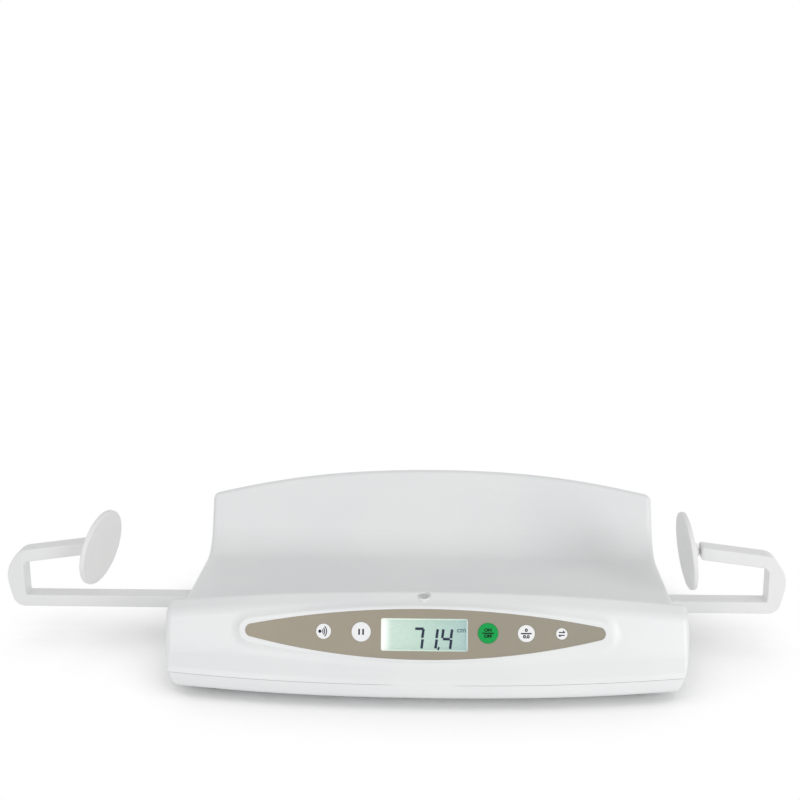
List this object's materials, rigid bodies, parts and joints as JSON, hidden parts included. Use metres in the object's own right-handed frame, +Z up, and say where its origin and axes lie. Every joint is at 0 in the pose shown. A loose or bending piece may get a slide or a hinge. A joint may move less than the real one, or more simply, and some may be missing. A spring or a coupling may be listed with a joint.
{
  "type": "digital baby weighing scale",
  "caption": "Low white digital baby scale: curved weighing tray with a sloping control panel in front and sliding measuring arms with swivelling round end plates.",
  "frame": {"origin": "on the floor under the middle of the scale's bounding box, with the arms as drawn", "axes": "+X along the tray towards the right-hand arm, +Y from the control panel to the back, +Z up"},
  "size_m": [0.9502, 0.3744, 0.1631],
  "materials": {
    "case_white": "smooth moulded white plastic, soft gloss",
    "arm_white": "smooth moulded white plastic, soft gloss",
    "plate_white": "smooth moulded white plastic, satin",
    "panel_taupe": "printed film, satin",
    "window": "clear moulded lens",
    "lcd": "pale green display cell",
    "backlight": "diffuser",
    "inner_plastic": "natural moulded plastic",
    "board_green": "solder resist",
    "screw_steel": "zinc plated",
    "key_white": "smooth moulded plastic",
    "key_green": "smooth moulded plastic",
    "switch_black": "moulded",
    "vial": "acrylic vial with liquid",
    "steel": "turned or stamped steel",
    "rail_grey": "low friction moulded plastic",
    "felt": "felt pad",
    "strip": "printed film",
    "alloy": "machined",
    "rubber": "soft rubber",
    "cell_sleeve": "plain sleeve",
    "black_plastic": "moulded"
  },
  "bodies": {
    "housing": {"batteries": "cell_sleeve", "battery_box": "inner_plastic", "battery_contacts": "steel", "battery_door_pin": "steel", "board_screws": "screw_steel", "bottom_cover": "case_white", "brake_pad_left": "felt", "brake_pad_right": "felt", "brake_spring_left": "steel", "brake_spring_right": "steel", "case_screws": "screw_steel", "control_panel": "panel_taupe", "display_window": "window", "key_switches": "switch_black", "lcd_backlight": "backlight", "lcd_frame": "inner_plastic", "lcd_glass": "lcd", "level_cup": "case_white", "level_vial": "vial", "load_cell_back_left": "alloy", "load_cell_back_right": "alloy", "load_cell_front_left": "alloy", "load_cell_front_right": "alloy", "main_board": "board_green", "position_sensor_left": "black_plastic", "position_sensor_right": "black_plastic", "power_inlet": "black_plastic", "slide_rail_left": "rail_grey", "slide_rail_right": "rail_grey", "top_shell": "case_white"},
    "arm_left": {"arm_bar_left": "arm_white", "arm_bow_left": "arm_white", "ball_stud_left": "inner_plastic", "stop_pin_left": "steel", "encoder_strip_left": "strip"},
    "swivel_left": {"swivel_liner_left": "inner_plastic"},
    "plate_left": {"end_plate_left": "plate_white"},
    "arm_right": {"arm_bar_right": "arm_white", "arm_bow_right": "arm_white", "ball_stud_right": "inner_plastic", "stop_pin_right": "steel", "encoder_strip_right": "strip"},
    "swivel_right": {"swivel_liner_right": "inner_plastic"},
    "plate_right": {"end_plate_right": "plate_white"},
    "key_measure": {"button_measure": "key_white"},
    "key_hold": {"button_hold": "key_white"},
    "key_power": {"button_power": "key_green"},
    "key_zero": {"button_zero": "key_white"},
    "key_unit": {"button_unit": "key_white"},
    "pad_front_left": {"foot_pad_front_left": "rubber"},
    "stud_front_left": {"foot_stud_front_left": "rail_grey"},
    "pad_front_right": {"foot_pad_front_right": "rubber"},
    "stud_front_right": {"foot_stud_front_right": "rail_grey"},
    "pad_back_left": {"foot_pad_back_left": "rubber"},
    "stud_back_left": {"foot_stud_back_left": "rail_grey"},
    "pad_back_right": {"foot_pad_back_right": "rubber"},
    "stud_back_right": {"foot_stud_back_right": "rail_grey"},
    "door": {"battery_door": "case_white"}
  },
  "joints": [
    {"name": "arm_right_slide", "type": "slide", "parent": "housing", "child": "arm_right", "axis": [1, 0, 0], "range_m": [-0.1093, 0.0997]},
    {"name": "plate_right_turn", "type": "hinge", "parent": "arm_right", "child": "swivel_right", "pos_m": [0.3662, -0.00462, 0.1173], "axis": [0, 0, 1], "range_deg": [-17.2, 12.8]},
    {"name": "plate_right_tilt", "type": "hinge", "parent": "swivel_right", "child": "plate_right", "pos_m": [0.3662, -0.00462, 0.1173], "axis": [0.0384, -0.9993, 0], "range_deg": [-22, 8]},
    {"name": "arm_left_slide", "type": "slide", "parent": "housing", "child": "arm_left", "axis": [-1, 0, 0], "range_m": [-0.1987, 0.0103]},
    {"name": "plate_left_turn", "type": "hinge", "parent": "arm_left", "child": "swivel_left", "pos_m": [-0.3662, -0.00462, 0.1173], "axis": [0, 0, 1], "range_deg": [-2.5, 27.5]},
    {"name": "plate_left_tilt", "type": "hinge", "parent": "swivel_left", "child": "plate_left", "pos_m": [-0.3662, -0.00462, 0.1173], "axis": [0.2164, 0.9763, 0], "range_deg": [-27, 3]},
    {"name": "press_measure", "type": "slide", "parent": "housing", "child": "key_measure", "axis": [0, 0.9272, -0.3746], "range_m": [0, 0.0007], "stiffness_N_per_m": 1200, "springref_m": -0.0004},
    {"name": "press_hold", "type": "slide", "parent": "housing", "child": "key_hold", "axis": [0, 0.9272, -0.3746], "range_m": [0, 0.0007], "stiffness_N_per_m": 1200, "springref_m": -0.0004},
    {"name": "press_power", "type": "slide", "parent": "housing", "child": "key_power", "axis": [0, 0.9272, -0.3746], "range_m": [0, 0.0007], "stiffness_N_per_m": 1200, "springref_m": -0.0004},
    {"name": "press_zero", "type": "slide", "parent": "housing", "child": "key_zero", "axis": [0, 0.9272, -0.3746], "range_m": [0, 0.0007], "stiffness_N_per_m": 1200, "springref_m": -0.0004},
    {"name": "press_unit", "type": "slide", "parent": "housing", "child": "key_unit", "axis": [0, 0.9272, -0.3746], "range_m": [0, 0.0007], "stiffness_N_per_m": 1200, "springref_m": -0.0004},
    {"name": "foot_front_left_height", "type": "slide", "parent": "housing", "child": "pad_front_left", "axis": [0, 0, -1], "range_m": [0, 0.006]},
    {"name": "foot_front_left_screw", "type": "hinge", "parent": "pad_front_left", "child": "stud_front_left", "pos_m": [-0.1913, -0.13062, 0.0045], "axis": [0, 0, -1], "range_deg": [-1, 1441]},
    {"name": "foot_front_right_height", "type": "slide", "parent": "housing", "child": "pad_front_right", "axis": [0, 0, -1], "range_m": [0, 0.006]},
    {"name": "foot_front_right_screw", "type": "hinge", "parent": "pad_front_right", "child": "stud_front_right", "pos_m": [0.2807, -0.13062, 0.0045], "axis": [0, 0, -1], "range_deg": [-1, 1441]},
    {"name": "foot_back_left_height", "type": "slide", "parent": "housing", "child": "pad_back_left", "axis": [0, 0, -1], "range_m": [0, 0.006]},
    {"name": "foot_back_left_screw", "type": "hinge", "parent": "pad_back_left", "child": "stud_back_left", "pos_m": [-0.1913, 0.13738, 0.0045], "axis": [0, 0, -1], "range_deg": [-1, 1441]},
    {"name": "foot_back_right_height", "type": "slide", "parent": "housing", "child": "pad_back_right", "axis": [0, 0, -1], "range_m": [0, 0.006]},
    {"name": "foot_back_right_screw", "type": "hinge", "parent": "pad_back_right", "child": "stud_back_right", "pos_m": [0.2807, 0.13738, 0.0045], "axis": [0, 0, -1], "range_deg": [-1, 1441]},
    {"name": "battery_door_hinge", "type": "hinge", "parent": "housing", "child": "door", "pos_m": [0.0447, 0.09838, 0.0113], "axis": [1, 0, 0], "range_deg": [0, 95]}
  ],
  "couplings": [
    {"joint": "foot_front_left_screw", "follows": "foot_front_left_height", "rad_per_m": 4188.8},
    {"joint": "foot_front_right_screw", "follows": "foot_front_right_height", "rad_per_m": 4188.8},
    {"joint": "foot_back_left_screw", "follows": "foot_back_left_height", "rad_per_m": 4188.8},
    {"joint": "foot_back_right_screw", "follows": "foot_back_right_height", "rad_per_m": 4188.8}
  ]
}
